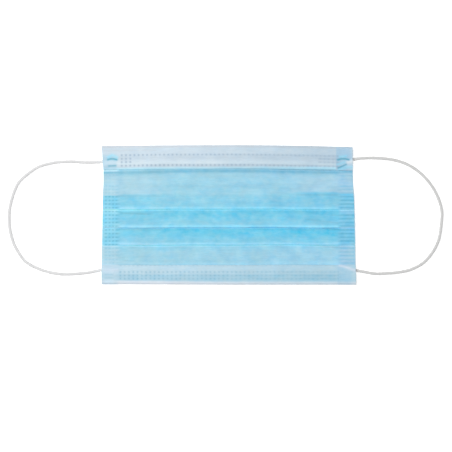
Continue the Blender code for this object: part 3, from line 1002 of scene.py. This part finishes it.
topSheet = {
    **bandSheet,
    "name": "top_band_strip",
    "node": "top_band",
    "view": topBandView,
    "base": (0.615, 0.73, 0.82),
    "edge": (0.60, 0.66, 0.72),
    "dim": (0.55, 0.66, 0.75),
    "between": (0.65, 0.775, 0.85),
    "lowerEdge": (0.50, 0.80, 0.93),
    "blueEdge": (0.30, 0.60, 0.76),
    "seal": (0.47, 0.70, 0.84),
    "blue": (0.46, 0.66, 0.82),
    "dot": (0.36, 0.48, 0.60),
    "dark": (0.13, 0.45, 0.60),
    "halo": (0.36, 0.76, 0.95),
    "pale": (0.78, 0.86, 0.92),
    "rightShadeAndTint": (-0.16, -0.11, -0.08),
    "edgeRows": (147.8, 146.2),
    "edgeLine": (149.3, 0.5 * mm),  # row and half width, as are the next two
    "dimLine": (156.6, 1.7 * mm),
    "betweenLine": (162.4, 1.5 * mm),
    "edgeLineEnd": -50 * mm,
    "right": (0 * mm, 60 * mm),
    "lowerEdgeTop": (1.9 * mm, 0.7 * mm),  # pale edge, partly the thin band's own colour, partly painted light over its shaded cut edge: above the flap's edge, and what the right adds
    "lowerEdgeSoftness": 1.4 * mm,
    "brightLine": (1.9 * mm, 0.7 * mm),  # painted highlight: above the flap's edge, and half width
    "brightChange": (0.08, 0.16, 0.17),
    "sealAcross": (76 * mm, 78 * mm),
    "sealRows": (151, 156),
    "blueEdgeHeights": (0.95 * mm, 0.25 * mm),
    "blueEdgeAcross": (-20 * mm, 60 * mm),
    "blueColumns": (335.4, 347),
    "blueFade": 4 * mm,
    "blueRows": (149, 146),
}


# A pale strip, bluer where it is pressed to the panel under it.
def topBandPaint(x, y, z, marks):
    toRight = smooth(x, *topSheet["right"])
    paint = plain(x, topSheet["base"])
    paint = mixed(paint, topSheet["edge"], 0.8 * pastRows(y, *topSheet["edgeRows"]))
    edgeLine = nearRow(y, *topSheet["edgeLine"]) * (x < topSheet["edgeLineEnd"])
    paint = mixed(paint, topSheet["edge"], 0.4 * edgeLine)
    paint = mixed(paint, topSheet["dim"], 0.8 * nearRow(y, *topSheet["dimLine"]))
    paint = mixed(paint, topSheet["between"], 0.8 * nearRow(y, *topSheet["betweenLine"]))
    # Along the flap's lower edge: pale cyan, partly the thin band's own colour and partly painted light over
    # its shaded cut edge, with a painted highlight on the right.
    above, aboveRight = topSheet["lowerEdgeTop"]
    edgeStart = topFlapEdge + above + aboveRight * toRight
    paint = mixed(paint, topSheet["lowerEdge"], ramp(edgeStart - y, 0, topSheet["lowerEdgeSoftness"]))
    above, halfWide = topSheet["brightLine"]
    paint = scaled(paint, around(y, topFlapEdge + above, halfWide) * toRight, topSheet["brightChange"])
    leftEnd = smooth(-x, *topSheet["sealAcross"]) * pastRows(y, *topSheet["sealRows"])
    paint = mixed(paint, topSheet["seal"], 0.7 * leftEnd)
    lowest = smooth(y - topFlapEdge, *topSheet["blueEdgeHeights"]) * smooth(x, *topSheet["blueEdgeAcross"])
    paint = mixed(paint, topSheet["blueEdge"], 0.9 * lowest)
    start, end = (atPixel(column, 0)[0] for column in topSheet["blueColumns"])
    fades = 1 - 0.65 * smooth(x, end, end + topSheet["blueFade"])
    fades = fades * (1 - 0.4 * pastRows(y, *topSheet["blueRows"]))
    paint = mixed(paint, topSheet["blue"], smooth(x, start - 0.5 * mm, start + 0.5 * mm) * fades)
    return markedPaint(paint, topSheet, x, marks)


bottomSheet = {
    **bandSheet,
    "name": "bottom_band_strip",
    "node": "bottom_band",
    "view": bottomBandView,
    "base": (0.50, 0.69, 0.80),
    "rows": (0.38, 0.62, 0.76),
    "edge": (0.68, 0.76, 0.85),
    "litRim": (0.80, 0.84, 0.88),
    "seal": (0.54, 0.72, 0.84),
    "blue": (0.36, 0.60, 0.79),
    "dot": (0.26, 0.50, 0.64),
    "dark": (0.24, 0.52, 0.66),
    "halo": (0.62, 0.80, 0.92),
    "pale": (0.68, 0.76, 0.87),
    "rightShadeAndTint": (-0.13, -0.06, -0.04),
    "dottedTop": (272.2, 275),  # rows, as are the next three
    "dottedBottom": (281.4, 279.6),
    "edgeRows": (279.0, 281.0),
    "litRimRows": (282.2, 283.2),
    "edgeSlope": (-80 * mm, -10 * mm),  # the pale edge begins a pixel lower past this stretch
    "dottedAcross": (82 * mm, 76 * mm),
    "sealAcross": (75 * mm, 78 * mm),
    "blueColumn": 336,
    "blueSoftness": 1 * mm,
    "blueEnd": (86 * mm, 82 * mm),
}


# A pale strip whose lower half is bluer with weld dots, and whose bottom edge is paler, with painted light
# on its rounded rim.
def bottomBandPaint(x, y, z, marks):
    paint = plain(x, bottomSheet["base"])
    dotted = pastRows(y, *bottomSheet["dottedTop"]) * pastRows(y, *bottomSheet["dottedBottom"])
    inside = smooth(np.abs(x), *bottomSheet["dottedAcross"])
    paint = mixed(paint, bottomSheet["rows"], 0.75 * dotted * (0.4 + 0.6 * inside))
    late = ramp(x, *bottomSheet["edgeSlope"]) * pixel
    paint = mixed(paint, bottomSheet["edge"], pastRows(y + late, *bottomSheet["edgeRows"]))
    # Painted light on the rounded bottom rim, which the lamps leave in shade.
    paint = mixed(paint, bottomSheet["litRim"], 0.6 * pastRows(y, *bottomSheet["litRimRows"]))
    leftEnd = smooth(-x, *bottomSheet["sealAcross"]) * (1 - 0.6 * dotted)
    paint = mixed(paint, bottomSheet["seal"], 0.7 * leftEnd)
    start = atPixel(bottomSheet["blueColumn"], 0)[0]
    rightEnd = smooth(x, start, start + bottomSheet["blueSoftness"]) * smooth(x, *bottomSheet["blueEnd"])
    paint = mixed(paint, bottomSheet["blue"], 0.35 * rightEnd)
    return markedPaint(paint, bottomSheet, x, marks)


cloths = {  # how far the clouds change the value, the hue and the depth of the blue
    "cloth_band": (0.03, 0.003, 0.08),
    "cloth_blue": (0.055, 0.006, 0.07),
    "cloth_white": (0.03, 0.003, 0.05),
}


# The cloth's painted colour with its cloudiness.
def clothMaterial(name):
    contrast, tint, depth = cloths[name]
    material, tree, shader = newMaterial(name)
    place = attributeOf(tree, "cloth", "Vector")
    paint = attributeOf(tree, "paint", "Color")
    weave = addNode(tree, "ShaderNodeGroup", {"Place": place}, node_tree=nonwoven)

    def varied(output, middle, spread):
        return mapRange(tree, weave.outputs[output], 0.3, 0.7, middle - spread, middle + spread)

    thin = mapRange(tree, weave.outputs["Fibre"], 0, 1, 0.96, 1.04)
    clouds = mathNode(tree, "MULTIPLY", varied("Cloud", 1, contrast), varied("Streak", 1, contrast * 0.6))
    value = mathNode(tree, "MULTIPLY", clouds, thin)
    hue = varied("Tint", 0.5, tint)
    blue = mathNode(tree, "MULTIPLY", varied("Tint", 1, depth), varied("Fleck", 1, depth))
    toned = addNode(tree, "ShaderNodeHueSaturation", {
        "Hue": hue, "Saturation": blue, "Color": paint, "Value": value})
    relief = addNode(tree, "ShaderNodeBump", {
        "Height": weave.outputs["Height"], "Strength": 0.35, "Distance": 0.05 * mm})
    setSockets(tree, shader, {
        "Base Color": toned.outputs[0],
        "Normal": relief.outputs[0],
        "Roughness": mapRange(tree, weave.outputs["Bond"], 0, 1, 0.85, 0.6),
        "Specular IOR Level": 0.25,
        "Sheen Weight": 0.1,
    })
    return material


banding = clothMaterial("cloth_band")
topStrip, topFlat = foldedSheet(topSheet, topBandPaint, banding)
bottomStrip, bottomFlat = foldedSheet(bottomSheet, bottomBandPaint, banding)
for sheet, paintOf, material in (
    (panelSheet, panelPaint, clothMaterial("cloth_blue")),
    (innerSheet, innerPaint, clothMaterial("cloth_white")),
):
    ply, flat = foldedSheet(sheet, paintOf, material)


def wireMaterial():
    material, tree, shader = newMaterial("wire_cover")
    grain = addNode(tree, "ShaderNodeMapping", {"Vector": objectPlace(tree), "Scale": (60, 4000, 4000)})
    noise = addNode(tree, "ShaderNodeTexNoise", {"Vector": grain.outputs[0], "Scale": 1.0, "Detail": 2.0})
    relief = addNode(tree, "ShaderNodeBump", {
        "Height": noise.outputs[0], "Strength": 0.3, "Distance": 0.03 * mm})
    setSockets(tree, shader, {
        "Base Color": mixColour(tree, noise.outputs[0], *wire["coverColours"]),
        "Normal": relief.outputs[0],
        "Roughness": mapRange(tree, noise.outputs[0], 0, 1, 0.35, 0.5),
    })
    return material


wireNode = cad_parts["nose_wire"]
wireNode.data.materials.clear()
wireNode.data.materials.append(wireMaterial())

studio = {
    "floorSide": 3.0,
    "floorColours": ((0.93, 0.93, 0.93, 1), (0.95, 0.95, 0.95, 1)),
    "floorGlow": 0.3,
    "world": 0.22,
    "lamps": (  # name, place, size and power
        ("key", (-0.6, 0.6, 1.0), 0.5, 5.0),
        ("overhead", (-0.15, 0.0, 1.3), 0.7, 11.0),
    ),
}


def makeFloor():
    material, tree, shader = newMaterial("pale_table")
    noise = addNode(tree, "ShaderNodeTexNoise", {
        "Vector": objectPlace(tree), "Scale": 400.0, "Detail": 3.0})
    relief = addNode(tree, "ShaderNodeBump", {
        "Height": noise.outputs[0], "Strength": 0.05, "Distance": 0.1 * mm})
    setSockets(tree, shader, {
        "Base Color": mixColour(tree, noise.outputs[0], *studio["floorColours"]),
        "Normal": relief.outputs[0],
        "Roughness": 0.9,
        "Specular IOR Level": 0.1,
        "Emission Color": (1, 1, 1, 1),
        "Emission Strength": studio["floorGlow"],
    })
    mesh = gridMesh("floor", 1, 1, studio["floorSide"] / 2)
    mesh.materials.append(material)
    floor = addObject("floor", mesh)


# A round lamp aimed at the middle of the mask.
def makeLamp(name, place, size, power):
    data = bpy.data.lights.new(name, "AREA")
    data.shape = "DISK"
    data.size = size
    data.energy = power
    lamp = addObject(name, data)
    lamp.location = place
    aim = -np.array(place)
    yaw = math.atan2(aim[0], -aim[1])
    pitch = math.atan2(math.hypot(aim[0], aim[1]), -aim[2])
    lamp.rotation_euler = (pitch, 0, yaw + math.pi)


makeFloor()
world = bpy.data.worlds.new("studio")
world.use_nodes = True
world.node_tree.nodes["Background"].inputs[0].default_value = (1, 1, 1, 1)
world.node_tree.nodes["Background"].inputs[1].default_value = studio["world"]
bpy.context.scene.world = world
for lamp in studio["lamps"]:
    makeLamp(*lamp)
bpy.context.scene.view_settings.view_transform = "Standard"
print("studio made")
